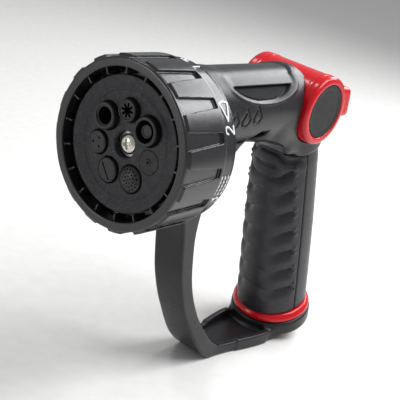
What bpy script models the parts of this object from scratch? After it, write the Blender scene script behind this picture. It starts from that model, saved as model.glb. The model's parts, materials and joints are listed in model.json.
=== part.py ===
"""Hose spray nozzle with a D-shaped hand guard, a seven-way turret head and a thumb lever.

Axes: +Z up, the spray leaves towards -Y, X is across. The origin is under the middle of the
object's box, on the surface it stands on. Numbers are in millimetres and are turned into metres
by MM. In the outlines below, y is measured from the point where the handle's axis crosses the
height of the turret's axis, and z from that height.
"""
import math

import bmesh
import bpy
from mathutils import Matrix, Vector

MM = 0.001
GAP = 0.3                       # clearance between touching pieces
OVERSHOOT = 2.0                 # how far a cutter runs past the face it opens

# ---- driving dimensions -------------------------------------------------------------------
AXIS_HEIGHT = 133.5             # the turret's axis above the ground
MIDDLE_SHIFT = 36.8             # moves the box's middle to y = 0
HEAD_FRONT = -137.0             # y of the grip ring's front rim
HEAD_RADIUS = 40.2              # over the pads of the grip ring
POCKET_RADIUS = 38.9
COLLAR_RADIUS = 38.5
BARREL_RISE = 15.0              # barrel axis above turret axis; also the outlets' circle
BARREL_RADIUS = 20.2
BARREL_WALL = 3.6
BARREL_END = -15.5              # y of the barrel's rear face, a lip over the lever's saddle
SADDLE_FRONT = -20.5            # y of the saddle's front edge, under that lip
FLANGE_RADIUS = 35.6
LEVER_Y = -5.2
LEVER_Z = 16.0
DRUM_RADIUS = 16.0
DRUM_HALF_WIDTH = 15.8
LEVER_RADIUS = 18.7             # over the lever's cheeks and its saddle
CHEEK_INNER_X = 16.4
CHEEK_OUTER_X = 23.4
CAP_SEAT_X = 20.2               # floor of each cap's recess
LEVER_TRAVEL = math.radians(20.0)
CRANK_RADIUS = 8.0
CLICK_CIRCLE = 28.4             # radius of the circle of click dimples
SPINDLE_RADIUS = 3.5
HANDLE_LEAN = math.radians(17.8)
GRIP_TOP = 12.0                 # distances down the handle's axis
GRIP_END = 117.5
GRIP_OVAL = 1.1                 # the handle is deeper than it is wide
ACCENT_END = 122.6
COLLAR_END = 132.5
BASE_RADIUS = 24.0
SOCKET_RADIUS = 13.2            # inside the 3/4 inch garden hose thread
PATTERNS = 7
PADS = 16
FINS = 18
GUIDE_WAYS = 4

# depths behind the grip ring's front rim
RING_BACK = 26.8
LABEL_FRONT = 27.2
LABEL_BACK = 35.8
FACE_DEPTH = 4.6
FACE_BACK = 8.0
DISTRIBUTOR_FRONT = 14.6
DISTRIBUTOR_BACK = 18.0
FLANGE_FRONT = 31.4
FLANGE_BACK = 35.6

# ---- materials: colour, roughness, metallic ------------------------------------------------
LOOKS = {
    "black_plastic": ((0.030, 0.030, 0.034), 0.38, 0.0),
    "grey_plastic": ((0.060, 0.062, 0.068), 0.42, 0.0),
    "face_plastic": ((0.035, 0.034, 0.038), 0.55, 0.0),
    "red_plastic": ((0.620, 0.012, 0.020), 0.20, 0.0),
    "cap_plastic": ((0.075, 0.078, 0.075), 0.60, 0.0),
    "grip_rubber": ((0.028, 0.026, 0.030), 0.62, 0.0),
    "inner_plastic": ((0.700, 0.700, 0.680), 0.45, 0.0),
    "seal_rubber": ((0.015, 0.015, 0.015), 0.70, 0.0),
    "brass": ((0.780, 0.570, 0.280), 0.30, 1.0),
    "nickel": ((0.720, 0.690, 0.650), 0.18, 1.0),
    "steel": ((0.620, 0.620, 0.620), 0.28, 1.0),
}


def clear_scene():
    for item in list(bpy.data.objects):
        bpy.data.objects.remove(item, do_unlink=True)


def collection(name):
    made = bpy.data.collections.new(name)
    bpy.context.scene.collection.children.link(made)
    return made


def material(look):
    made = bpy.data.materials.get(look)
    if made:
        return made
    color, roughness, metallic = LOOKS[look]
    made = bpy.data.materials.new(look)
    made.use_nodes = True
    shader = made.node_tree.nodes["Principled BSDF"]
    shader.inputs["Base Color"].default_value = (*color, 1.0)
    shader.inputs["Roughness"].default_value = roughness
    shader.inputs["Metallic"].default_value = metallic
    return made


clear_scene()
PARTS = collection("hose_spray_nozzle")
CUTTERS = collection("cutters")


# ---- frames: empties that the pieces hang from ---------------------------------------------
def place(y, z):
    return Vector((0.0, (y + MIDDLE_SHIFT) * MM, (z + AXIS_HEIGHT) * MM))


def frame(name, y, z, turn=None):
    made = bpy.data.objects.new(name, None)
    made.empty_display_size = 0.01
    PARTS.objects.link(made)
    made.matrix_world = Matrix.Translation(place(y, z)) @ (turn or Matrix.Identity(4))
    return made


FORWARD = Matrix.Rotation(math.radians(90.0), 4, "X")       # local Z points to the front
SIDEWAYS = Matrix.Rotation(math.radians(90.0), 4, "Y")      # local Z points to +X
SIDE_VIEW = Matrix(((0, 0, 1, 0), (1, 0, 0, 0), (0, 1, 0, 0), (0, 0, 0, 1)))

TURRET_AXIS = frame("turret_axis", HEAD_FRONT, 0.0, FORWARD)
BARREL_AXIS = frame("barrel_axis", HEAD_FRONT, BARREL_RISE, FORWARD)
HANDLE_AXIS = frame("handle_axis", 0.0, 0.0, Matrix.Rotation(HANDLE_LEAN, 4, "X"))
LEVER_AXIS = frame("lever_axis", LEVER_Y, LEVER_Z, SIDEWAYS)
SIDE = frame("side_outlines", 0.0, 0.0, SIDE_VIEW)
BODY = frame("body_origin", 0.0, 0.0)
bpy.context.view_layer.update()


# ---- makers ---------------------------------------------------------------------------------
def add(name, mesh, parent, look=None, at=(0.0, 0.0, 0.0)):
    """A node when it has a look, a cutter or a joined shape when it has none."""
    made = bpy.data.objects.new(name, mesh)
    (PARTS if look else CUTTERS).objects.link(made)
    made.parent = parent
    made.location = Vector(at) * MM
    if look:
        mesh.materials.append(material(look))
    else:
        made.hide_render = True
        made.display_type = "WIRE"
    return made


def turned(name, outline, parent, look=None, at=(0.0, 0.0, 0.0), steps=36, oval=1.0):
    """Turn (radius, depth) points; depth runs down the frame's Z. A ring's outline closes."""
    solid = outline[0][0] == 0.0
    mesh = bpy.data.meshes.new(name)
    count = len(outline)
    edges = [(i, i + 1) for i in range(count - 1)]
    if not solid:
        edges.append((count - 1, 0))
    mesh.from_pydata([(r * MM, 0.0, -depth * MM) for r, depth in outline], edges, [])
    made = add(name, mesh, parent, look, at)
    made.scale = (1.0, oval, 1.0)
    screw = made.modifiers.new("turn", "SCREW")
    screw.axis = "Z"
    screw.steps = steps
    screw.render_steps = steps
    screw.use_merge_vertices = True
    screw.merge_threshold = 0.00001
    screw.use_smooth_shade = True
    return made


def ring(name, outer, inner, front, back, parent, look=None, **more):
    outline = [(outer, front), (outer, back), (inner, back), (inner, front)]
    return turned(name, outline, parent, look, **more)


def rod(name, radius, front, back, parent, look=None, **more):
    outline = [(0.0, front), (radius, front), (radius, back), (0.0, back)]
    return turned(name, outline, parent, look, **more)


def block(name, low, high, parent, look=None, soften=0.0):
    """A box between two corners, with its edges rounded by soften."""
    mesh = bpy.data.meshes.new(name)
    shape = bmesh.new()
    bmesh.ops.create_cube(shape, size=1.0)
    size = [(b - a) * MM for a, b in zip(low, high)]
    middle = [(a + b) * MM / 2.0 for a, b in zip(low, high)]
    bmesh.ops.scale(shape, vec=size, verts=shape.verts)
    bmesh.ops.translate(shape, vec=middle, verts=shape.verts)
    shape.to_mesh(mesh)
    shape.free()
    made = add(name, mesh, parent, look)
    if soften:
        bevel = made.modifiers.new("soften", "BEVEL")
        bevel.width = soften * MM
        bevel.segments = 2
        bevel.limit_method = "NONE"
    return made


def outline_plate(name, points, half_width, parent, look=None, soften=0.0, steps=5):
    """A flat outline of (u, v, kind) points, thick to both sides; kind is round or corner."""
    curve = bpy.data.curves.new(name, "CURVE")
    curve.dimensions = "2D"
    curve.fill_mode = "BOTH"
    curve.extrude = half_width * MM
    curve.resolution_u = steps
    spline = curve.splines.new("BEZIER")
    spline.bezier_points.add(len(points) - 1)
    for point, (u, v, kind) in zip(spline.bezier_points, points):
        point.co = (u * MM, v * MM, 0.0)
        handle = "AUTO" if kind == "round" else "VECTOR"
        point.handle_left_type = handle
        point.handle_right_type = handle
    spline.use_cyclic_u = True
    drawn = bpy.data.objects.new(name + "_curve", curve)
    CUTTERS.objects.link(drawn)
    bpy.context.view_layer.update()
    seen = drawn.evaluated_get(bpy.context.evaluated_depsgraph_get())
    mesh = bpy.data.meshes.new_from_object(seen)
    bpy.data.objects.remove(drawn)
    shape = bmesh.new()
    shape.from_mesh(mesh)
    bmesh.ops.remove_doubles(shape, verts=shape.verts, dist=0.000002)
    bmesh.ops.recalc_face_normals(shape, faces=shape.faces)
    shape.to_mesh(mesh)
    shape.free()
    mesh.name = name
    made = add(name, mesh, parent, look)
    if soften:
        bevel = made.modifiers.new("soften", "BEVEL")
        bevel.width = soften * MM
        bevel.segments = 2
        bevel.limit_method = "ANGLE"
        bevel.angle_limit = math.radians(50.0)
    return made


def combine(piece, operation, tools, solver):
    for tool in tools:
        step = piece.modifiers.new(tool.name, "BOOLEAN")
        step.operation = operation
        step.solver = solver
        step.object = tool
    return piece


def cut(piece, *tools, solver="EXACT"):
    return combine(piece, "DIFFERENCE", tools, solver)


def join(piece, *tools, solver="EXACT"):
    return combine(piece, "UNION", tools, solver)


def spot(index, radius=BARREL_RISE):
    """Centre of an outlet, counted clockwise from the top as seen from the front."""
    angle = 2.0 * math.pi * index / PATTERNS
    return (radius * math.sin(angle), radius * math.cos(angle), 0.0)


# ---- body: barrel, drum, neck and handle core in one moulding --------------------------------
def body_housing():
    barrel = rod("body_housing", BARREL_RADIUS, FLANGE_FRONT + 1.5, BARREL_END - HEAD_FRONT,
                 BARREL_AXIS, "grey_plastic", steps=44)
    flange = rod("flange_disc", FLANGE_RADIUS, FLANGE_FRONT, FLANGE_BACK, TURRET_AXIS, steps=44)
    spigot = rod("outlet_spigot", 7.2, 22.0, FLANGE_FRONT + 1.0, BARREL_AXIS, steps=20)
    drum = rod("lever_drum", DRUM_RADIUS, -DRUM_HALF_WIDTH, DRUM_HALF_WIDTH, LEVER_AXIS, steps=36)
    neck = outline_plate("neck_block", [
        (-48.0, 4.0, "corner"), (-47.0, -1.5, "corner"), (-32.0, -5.5, "round"),
        (-22.0, -9.5, "round"), (-14.5, -16.6, "corner"), (21.0, -5.2, "corner"),
        (18.0, -1.8, "round"), (6.0, 2.2, "corner"), (-8.0, 14.0, "corner"),
    ], 14.5, SIDE, soften=3.0, steps=3)
    core = rod("handle_core", 13.0, GRIP_TOP - 6.5, GRIP_END - GAP, HANDLE_AXIS,
               steps=24, oval=GRIP_OVAL)
    join(barrel, flange, spigot, drum, neck, core)

    bore = rod("barrel_bore", BARREL_RADIUS - BARREL_WALL, FLANGE_BACK, 107.0, BARREL_AXIS, steps=30)
    throat = rod("stem_throat", 8.0, 105.0, 122.0, BARREL_AXIS, steps=20)
    chamber = rod("crank_chamber", 13.2, -9.5, 9.5, LEVER_AXIS, steps=30)
    shaft_room = SPINDLE_RADIUS + GAP
    shaft_way = turned("spindle_way", [
        (0.0, -20.0), (6.3, -20.0), (6.3, -13.2), (shaft_room, -13.2), (shaft_room, 13.2),
        (6.3, 13.2), (6.3, 20.0), (0.0, 20.0),
    ], LEVER_AXIS, steps=18)
    tube_way = rod("tube_way", 9.3, 13.0, GRIP_END + OVERSHOOT, HANDLE_AXIS, steps=24)
    passage = rod("water_passage", 5.0, -4.0, 16.0, frame(
        "passage_axis", -6.0, 1.5, Matrix.Rotation(math.radians(30.0), 4, "X")), steps=18)
    outlet = rod("outlet_way", 4.2, 20.0, 40.0, BARREL_AXIS, steps=20)
    cheek_room = [
        rod("cheek_room_left", LEVER_RADIUS + GAP, DRUM_HALF_WIDTH + 0.2, 30.0, LEVER_AXIS),
        rod("cheek_room_right", LEVER_RADIUS + GAP, -30.0, -DRUM_HALF_WIDTH - 0.2, LEVER_AXIS),
    ]
    post_way = rod("post_way", 4.5, FLANGE_FRONT - OVERSHOOT, FLANGE_BACK - 1.2, TURRET_AXIS, steps=20)
    ball_way = rod("ball_way", 2.2, FLANGE_FRONT - OVERSHOOT, FLANGE_BACK - 0.8, TURRET_AXIS,
                   at=(0.0, -CLICK_CIRCLE, 0.0), steps=14)
    saddle_room = ring("saddle_room", LEVER_RADIUS + GAP, DRUM_RADIUS, -24.0, 24.0, LEVER_AXIS,
                       steps=44)
    cut(saddle_room,
        block("before_saddle_room", (-40, LEVER_Y - 40, LEVER_Z - 40),
              (40, SADDLE_FRONT - GAP, LEVER_Z + 40), BODY),
        block("below_saddle_room", (-40, LEVER_Y - 40, LEVER_Z - 40),
              (40, LEVER_Y + 40, LEVER_Z + 4.5), BODY))
    cut(barrel, saddle_room, *cheek_room, bore, throat, chamber, shaft_way, tube_way, passage, outlet,
        post_way, ball_way, solver="MANIFOLD")
    return barrel


def hand_guard():
    strap = outline_plate("hand_guard", [
        (-99.5, -2.0, "corner"), (-96.5, -18.0, "round"), (-87.4, -40.0, "round"),
        (-81.4, -62.0, "round"), (-74.8, -82.0, "round"), (-62.8, -105.0, "round"),
        (-49.5, -120.5, "round"), (-37.5, -131.0, "round"), (-29.0, -133.5, "corner"),
        (14.0, -133.5, "corner"), (14.0, -126.0, "corner"), (-22.0, -127.0, "round"),
        (-36.0, -119.5, "round"), (-52.0, -102.5, "round"), (-63.5, -82.0, "round"),
        (-70.5, -61.0, "round"), (-73.0, -42.0, "round"), (-70.5, -25.0, "round"),
        (-64.5, -11.0, "round"), (-56.0, -2.0, "corner"),
    ], 9.3, SIDE, "grey_plastic", soften=1.6, steps=4)
    web = outline_plate("bottom_web", [
        (-19.0, -8.9, "corner"), (-2.0, -10.6, "round"), (24.0, -16.5, "corner"),
        (24.0, 16.5, "corner"), (-2.0, 10.6, "round"), (-19.0, 8.9, "corner"),
    ], 3.4, frame("web_plane", 0.0, -129.9, Matrix.Rotation(math.radians(90.0), 4, "Z")), steps=4)
    collar = rod("base_collar", BASE_RADIUS, ACCENT_END + GAP, COLLAR_END + OVERSHOOT, HANDLE_AXIS,
                 steps=36)
    join(strap, web, collar)
    beyond_end = block("beyond_collar_end", (-40, -60, -160), (40, 60, -COLLAR_END), HANDLE_AXIS)
    barrel_room = rod("guard_barrel_room", BARREL_RADIUS + GAP, 20.0, 120.0, BARREL_AXIS, steps=44)
    flange_room = rod("guard_flange_room", 60.0, 20.0, FLANGE_BACK + GAP, TURRET_AXIS, steps=18)
    insert_room = rod("guard_insert_room", 16.8, 100.0, 150.0, HANDLE_AXIS, steps=30)
    cut(strap, barrel_room, flange_room, insert_room, beyond_end, solver="MANIFOLD")
    return strap


# ---- handle pieces ---------------------------------------------------------------------------
def grip_shell(name, look, top, end):
    """An oval tube that grows towards the foot, round the handle core."""
    outer = [(17.2, top), (17.7, top + 6.0), (18.6, 40.0), (19.2, 60.0), (19.8, 100.0), (20.2, end)]
    return turned(name, outer + [(13.0 + GAP, end), (13.0 + GAP, top)], HANDLE_AXIS, look,
                  steps=30, oval=GRIP_OVAL)


def grip_pieces():
    """Soft front sleeve, hard rear spine, and the ribbed pad let into the spine's back."""
    split = -3.5
    sleeve = grip_shell("grip_sleeve", "grip_rubber", GRIP_TOP, GRIP_END)
    cut(sleeve, block("behind_split", (-30, split, -130), (30, 40, 10), HANDLE_AXIS))
    spine = grip_shell("grip_spine", "black_plastic", GRIP_TOP, GRIP_END)
    pad_room = block("pad_room", (-6.3, 17.2, -105.3), (6.3, 40, -17.7), HANDLE_AXIS)
    cut(spine, block("before_split", (-30, -40, -130), (30, split + GAP, 10), HANDLE_AXIS), pad_room)
    pad = grip_shell("back_pad", "grip_rubber", GRIP_TOP, GRIP_END)
    cut(pad, block("pad_above", (-30, -40, -17.99), (30, 40, 10), HANDLE_AXIS),
        block("pad_below", (-30, -40, -130), (30, 40, -105), HANDLE_AXIS),
        block("pad_before", (-30, -40, -130), (30, 17.5, 10), HANDLE_AXIS),
        block("pad_left", (-30, -40, -130), (-6, 40, 10), HANDLE_AXIS),
        block("pad_right", (6, -40, -130), (30, 40, 10), HANDLE_AXIS))
    turned("accent_ring", [(22.4, GRIP_END + GAP), (23.8, 119.4), (BASE_RADIUS, ACCENT_END),
                           (16.8, ACCENT_END), (16.8, GRIP_END + GAP)], HANDLE_AXIS, "red_plastic")


def water_inlet():
    """Tube up the handle, threaded hose socket at its foot, washer and filter."""
    ring("water_tube", 9.0, 7.0, 15.0, 106.0, HANDLE_AXIS, "inner_plastic", steps=24)
    ring("tube_seal", 8.9, 6.4, 13.2, 14.7, HANDLE_AXIS, "seal_rubber", steps=20)
    turned("inlet_insert", [
        (9.0, 106.4), (9.0, GRIP_END - 0.6), (9.0, GRIP_END + GAP), (16.4, GRIP_END + GAP),
        (16.4, COLLAR_END), (SOCKET_RADIUS, COLLAR_END), (SOCKET_RADIUS, 120.0), (7.0, 120.0),
        (7.0, 106.4),
    ], HANDLE_AXIS, "brass", steps=30)
    ring("hose_washer", 12.8, 8.6, 120.3, 123.0, HANDLE_AXIS, "seal_rubber", steps=28)
    turned("filter_screen", [(0.0, 112.0), (4.0, 113.2), (6.6, 117.0), (6.6, 120.3), (8.3, 120.3),
                             (8.3, 121.1), (5.8, 121.1), (5.8, 117.4), (3.4, 114.0), (0.0, 113.0)],
           HANDLE_AXIS, "steel", steps=20)


# ---- valve: crank on the lever's spindle drives a plunger along the barrel --------------------
def valve_pieces():
    barrel_bore = BARREL_RADIUS - BARREL_WALL
    seat = 66.0
    ring("valve_seat", barrel_bore - GAP, 6.4, seat - 5.0, seat, BARREL_AXIS, "brass", steps=28)
    guide = ring("stem_guide", barrel_bore - GAP, 2.9, 96.0, 100.0, BARREL_AXIS, "inner_plastic",
                 steps=28)
    for i in range(GUIDE_WAYS):
        angle = 2.0 * math.pi * i / GUIDE_WAYS
        cut(guide, rod(f"guide_way_{i}", 4.2, 94.0, 102.0, BARREL_AXIS, steps=10,
                       at=(9.6 * math.cos(angle), 9.6 * math.sin(angle), 0.0)))

    travel = 2.0 * CRANK_RADIUS * math.sin(LEVER_TRAVEL / 2.0)
    plug_front = seat + travel + GAP
    stem = turned("valve_plunger", [
        (0.0, plug_front - 6.0), (3.0, plug_front - 5.0), (5.6, plug_front), (8.6, plug_front),
        (8.6, plug_front + 1.0), (6.6, plug_front + 1.0), (6.6, plug_front + 3.8),
        (8.6, plug_front + 3.8), (8.6, plug_front + 5.4), (2.5, plug_front + 6.4),
        (2.5, 122.0), (0.0, 122.0),
    ], BARREL_AXIS, "inner_plastic", steps=20)
    yoke = block("yoke_plate", (-1.9, LEVER_Y - 11.5, LEVER_Z - 11.2),
                 (1.9, LEVER_Y + 7.2, LEVER_Z + 5.9), BODY)
    window = block("spindle_window", (-5.0, LEVER_Y - SPINDLE_RADIUS - 0.6, LEVER_Z - 3.9),
                   (5.0, LEVER_Y + SPINDLE_RADIUS + travel + 0.6, LEVER_Z + 3.9), BODY)
    pin_y = LEVER_Y + CRANK_RADIUS * math.sin(LEVER_TRAVEL / 2.0)
    slot = block("pin_slot", (-5.0, pin_y - 2.1, LEVER_Z - CRANK_RADIUS - 2.0),
                 (5.0, pin_y + 2.1, LEVER_Z - CRANK_RADIUS + 2.4), BODY)
    lower_front = block("yoke_trim_front", (-5.0, LEVER_Y - 20.0, LEVER_Z - 14.0),
                        (5.0, pin_y - 5.4, LEVER_Z - 5.6), BODY)
    lower_rear = block("yoke_trim_rear", (-5.0, pin_y + 4.2, LEVER_Z - 14.0),
                       (5.0, LEVER_Y + 20.0, LEVER_Z - 5.6), BODY)
    cut(yoke, window, slot, lower_front, lower_rear)
    join(stem, yoke)
    ring("plunger_seal", 10.2, 6.9, plug_front + 1.3, plug_front + 3.5, BARREL_AXIS, "seal_rubber",
         steps=24)


def spindle_pieces():
    """Cross shaft with a crank arm and pin, and the O-rings that seal it in the drum."""
    shaft = rod("lever_spindle", SPINDLE_RADIUS, GAP - CAP_SEAT_X, CAP_SEAT_X - GAP, LEVER_AXIS, "steel", steps=20)
    lean = LEVER_TRAVEL / 2.0
    pin = (CRANK_RADIUS * math.cos(lean), CRANK_RADIUS * math.sin(lean), 0.0)
    pin_rod = rod("crank_pin", 1.7, -5.0, 2.6, LEVER_AXIS, steps=14, at=pin)
    arm = outline_plate("crank_arm", [
        (-4.6, 0.0, "round"), (0.0, -4.6, "round"), (pin[0], pin[1] - 3.2, "round"),
        (pin[0] + 3.2, pin[1], "round"), (pin[0], pin[1] + 3.2, "round"), (0.0, 4.6, "round"),
    ], 1.4, LEVER_AXIS, steps=4)
    arm.location = (0.0, 0.0, 3.7 * MM)
    join(shaft, arm, pin_rod)
    for side, name in ((1, "spindle_seal_left"), (-1, "spindle_seal_right")):
        low, high = sorted((side * 13.4, side * 15.6))
        ring(name, 6.0, SPINDLE_RADIUS + GAP, low, high, LEVER_AXIS, "seal_rubber", steps=18)


def thumb_lever():
    """Red yoke: a cheek on each side, a bridge behind the barrel and a thumb paddle."""
    def cheek(name, side):
        edge = 1.6
        outline = [(LEVER_RADIUS - edge, -CHEEK_OUTER_X), (LEVER_RADIUS, -CHEEK_OUTER_X + edge),
                   (LEVER_RADIUS, -CHEEK_INNER_X), (SPINDLE_RADIUS + 0.2, -CHEEK_INNER_X),
                   (SPINDLE_RADIUS + 0.2, -CAP_SEAT_X), (14.7, -CAP_SEAT_X), (14.7, -CHEEK_OUTER_X)]
        if side < 0:
            outline = [(r, -depth) for r, depth in reversed(outline)]
        return turned(name, outline, LEVER_AXIS, steps=36)

    bridge = ring("thumb_lever", LEVER_RADIUS - 0.2, DRUM_RADIUS + GAP, -CHEEK_INNER_X - 0.4,
                  CHEEK_INNER_X + 0.4, LEVER_AXIS, "red_plastic", steps=44)
    front = block("bridge_front_cut", (-30, LEVER_Y - 40, LEVER_Z - 40),
                  (30, SADDLE_FRONT, LEVER_Z + 40), BODY)
    under = block("bridge_under_cut", (-30, LEVER_Y - 40, LEVER_Z - 40),
                  (30, LEVER_Y + 40, LEVER_Z - 5.5), BODY)
    cut(bridge, front, under)
    paddle = outline_plate("thumb_paddle", [
        (10.8, 9.8, "corner"), (28.4, 9.0, "round"), (31.2, 11.4, "round"), (29.2, 22.8, "round"),
        (26.2, 25.6, "round"), (7.3, 27.4, "corner"), (10.2, 21.4, "corner"),
    ], 17.6, SIDE, soften=1.6, steps=3)
    join(bridge, cheek("cheek_right", 1), cheek("cheek_left", -1), paddle)
    drum_room = rod("paddle_drum_room", DRUM_RADIUS + 0.4, -CHEEK_INNER_X, CHEEK_INNER_X, LEVER_AXIS)
    cut(bridge, drum_room)
    for side, name in ((-1, "pivot_cap_right"), (1, "pivot_cap_left")):
        low, high = sorted((side * (CAP_SEAT_X + GAP), side * (CHEEK_OUTER_X - 0.2)))
        rod(name, 14.4, low, high, LEVER_AXIS, "cap_plastic", steps=36)


# ---- head ------------------------------------------------------------------------------------
def grip_ring():
    """Turret grip ring: pads and tapered pockets outside, thin fins round the face inside."""
    made = turned("turret_ring", [
        (POCKET_RADIUS, 0.0), (POCKET_RADIUS, 1.0), (HEAD_RADIUS, 1.6),
        (HEAD_RADIUS - 0.3, RING_BACK - 1.0), (POCKET_RADIUS, RING_BACK),
        (33.0, RING_BACK), (33.0, 10.0), (34.2, 9.0), (34.2, 0.0),
    ], TURRET_AXIS, "black_plastic", steps=44)
    for i in range(PADS):
        pocket = outline_plate(f"pocket_{i}", [
            (-4.1, OVERSHOOT, "corner"), (4.1, OVERSHOOT, "corner"), (2.3, -24.6, "corner"),
            (-2.3, -24.6, "corner"),
        ], HEAD_RADIUS + OVERSHOOT - POCKET_RADIUS, TURRET_AXIS)
        angle = 2.0 * math.pi * i / PADS
        pocket.matrix_local = (Matrix.Rotation(-angle, 4, "Z")
                               @ Matrix.Translation((0.0, (HEAD_RADIUS + OVERSHOOT) * MM, 0.0))
                               @ Matrix.Rotation(math.radians(90.0), 4, "X"))
        cut(made, pocket)
    for i in range(FINS):
        fin = block(f"fin_{i}", (-0.45, 31.3, -9.6), (0.45, 34.6, -1.6), TURRET_AXIS)
        fin.rotation_euler = (0.0, 0.0, -2.0 * math.pi * (i + 0.5) / FINS)
        join(made, fin)
    return made


OUTLET_ROOM = (5.1, 6.6, 5.4, 6.2, 5.8, 5.3, 6.2)       # hole radius for each outlet, clockwise


def face_plate():
    made = turned("face_plate", [
        (0.0, FACE_DEPTH), (24.5, FACE_DEPTH), (31.0, 3.4), (31.0, FACE_BACK), (0.0, FACE_BACK),
    ], TURRET_AXIS, "face_plastic", steps=44)
    for i, radius in enumerate(OUTLET_ROOM):
        cut(made, rod(f"outlet_room_{i}", radius + GAP, 1.0, 11.0, TURRET_AXIS, at=spot(i), steps=20))
    cut(made, rod("screw_room", 6.2, 1.0, 11.0, TURRET_AXIS, steps=20))
    return made


def distributor_plate():
    made = ring("distributor_plate", 32.7, 6.4, DISTRIBUTOR_FRONT, DISTRIBUTOR_BACK, TURRET_AXIS,
                "inner_plastic", steps=36)
    for i in range(PATTERNS):
        cut(made, rod(f"port_{i}", 3.6, 12.0, 20.0, TURRET_AXIS, at=spot(i), steps=14))
    return made


def outlets():
    """The seven spray outlets, each a plug in the face plate, clockwise from the top."""
    star = ring("star_nozzle", 5.1, 2.0, 1.9, 14.2, TURRET_AXIS, "black_plastic", at=spot(0),
                steps=20)
    rays = 4
    for i in range(rays):
        slit = block(f"star_slit_{i}", (-3.4, -0.5, -6.0), (3.4, 0.5, 0.0), TURRET_AXIS)
        slit.location = Vector(spot(0)) * MM
        slit.rotation_euler = (0.0, 0.0, math.pi * i / rays)
        cut(star, slit)
    turned("cone_nozzle", [
        (0.0, 3.0), (3.1, 3.0), (3.1, 9.0), (5.0, 9.0), (5.0, 1.6), (6.6, 1.6), (6.6, 14.2),
        (0.0, 14.2),
    ], TURRET_AXIS, "black_plastic", at=spot(1), steps=20)
    ring("pinhole_nozzle", 5.4, 0.5, FACE_DEPTH, 14.2, TURRET_AXIS, "face_plastic", at=spot(2),
         steps=18)
    dome = [(0.0, 2.4), (2.4, 2.6), (4.4, 3.3), (5.8, 4.4), (6.2, 5.2), (6.2, 14.2), (4.2, 14.2),
            (4.2, 6.0), (0.0, 5.2)]
    turned("dome_rose", dome, TURRET_AXIS, "face_plastic", at=spot(3), steps=20)
    flat = turned("flat_nozzle", [(0.0, 3.0), (5.0, 3.0), (5.8, 3.8), (5.8, 14.2), (3.8, 14.2),
                                  (3.8, 7.0), (0.0, 7.0)], TURRET_AXIS, "black_plastic",
                  at=spot(4), steps=20)
    slit = block("flat_slit", (-4.4, -0.7, -9.0), (4.4, 0.7, 0.0), TURRET_AXIS)
    slit.location = Vector(spot(4)) * MM
    slit.rotation_euler = (0.0, 0.0, math.radians(-55.0))
    cut(flat, slit)
    mist = turned("mist_nozzle", [(0.0, 3.2), (4.6, 3.2), (5.3, 3.9), (5.3, 14.2), (3.6, 14.2),
                                  (3.6, 6.0), (0.0, 6.0)], TURRET_AXIS, "face_plastic",
                  at=spot(5), steps=20)
    for i in range(3):
        angle = 2.0 * math.pi * i / 3.0
        hole = (spot(5)[0] + 2.5 * math.sin(angle), spot(5)[1] + 2.5 * math.cos(angle), 0.0)
        cut(mist, rod(f"mist_hole_{i}", 0.5, 1.0, 8.0, TURRET_AXIS, at=hole, steps=8))
    turned("jet_nozzle", [(5.4, 1.6), (6.2, 2.4), (6.2, 14.2), (3.9, 14.2), (3.9, 1.6)],
           TURRET_AXIS, "black_plastic", at=spot(6), steps=20)


def head_core():
    """What the turret turns on: post, screw, washer, face seal with its spring, click ball."""
    turned("turret_post", [(6.1, 9.0), (6.1, 31.1), (4.2, 31.1), (4.2, 34.2), (2.4, 34.2),
                           (2.4, 9.0)], TURRET_AXIS, "steel", steps=20)
    ring("screw_washer", 5.9, 2.4, 7.9, 8.7, TURRET_AXIS, "steel", steps=20)
    screw = turned("centre_screw", [(0.0, 5.6), (2.2, 5.7), (3.9, 6.3), (4.8, 7.6), (2.1, 7.6),
                                    (2.1, 28.0), (0.0, 29.0)], TURRET_AXIS, "nickel", steps=20)
    for i in range(2):
        wing = block(f"cross_{i}", (-2.3, -0.5, -7.4), (2.3, 0.5, -4.0), TURRET_AXIS)
        wing.rotation_euler = (0.0, 0.0, math.pi * i / 2.0 + math.radians(20.0))
        cut(screw, wing)
    turned("label_collar", [(COLLAR_RADIUS, LABEL_FRONT), (COLLAR_RADIUS, LABEL_BACK),
                            (FLANGE_RADIUS + 0.4, LABEL_BACK), (FLANGE_RADIUS + 0.4, 31.0),
                            (33.0, 31.0), (33.0, LABEL_FRONT)],
           TURRET_AXIS, "black_plastic", steps=44)
    ring("outlet_seal", 6.9, 4.2, 18.4, 21.6, BARREL_AXIS, "seal_rubber", steps=20)
    coil_spring("seal_spring", 8.2, 0.45, 20.2, 30.8, 4, BARREL_AXIS)
    steel_ball("detent_ball", 1.8, (0.0, -CLICK_CIRCLE, -28.6))
    coil_spring("detent_spring", 1.4, 0.25, 30.7, 34.5, 3, TURRET_AXIS, at=(0.0, -CLICK_CIRCLE, 0.0))
    click_ring()


def coil_spring(name, radius, wire, front, back, turns, parent, at=(0.0, 0.0, 0.0)):
    """A coil of round wire wound along the frame's Z."""
    curve = bpy.data.curves.new(name, "CURVE")
    curve.dimensions = "3D"
    curve.bevel_depth = wire * MM
    curve.bevel_resolution = 0
    curve.use_fill_caps = True
    spline = curve.splines.new("POLY")
    steps = turns * 9
    spline.points.add(steps)
    for i, point in enumerate(spline.points):
        angle = 2.0 * math.pi * turns * i / steps
        depth = front + wire + (back - front - 2.0 * wire) * i / steps
        point.co = (radius * math.cos(angle) * MM, radius * math.sin(angle) * MM, -depth * MM, 1.0)
    made = bpy.data.objects.new(name, curve)
    PARTS.objects.link(made)
    made.parent = parent
    made.location = Vector(at) * MM
    curve.materials.append(material("steel"))
    return made


def steel_ball(name, radius, at):
    mesh = bpy.data.meshes.new(name)
    shape = bmesh.new()
    bmesh.ops.create_uvsphere(shape, u_segments=16, v_segments=10, radius=radius * MM)
    shape.to_mesh(mesh)
    shape.free()
    return add(name, mesh, TURRET_AXIS, "steel", at=at)


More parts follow.
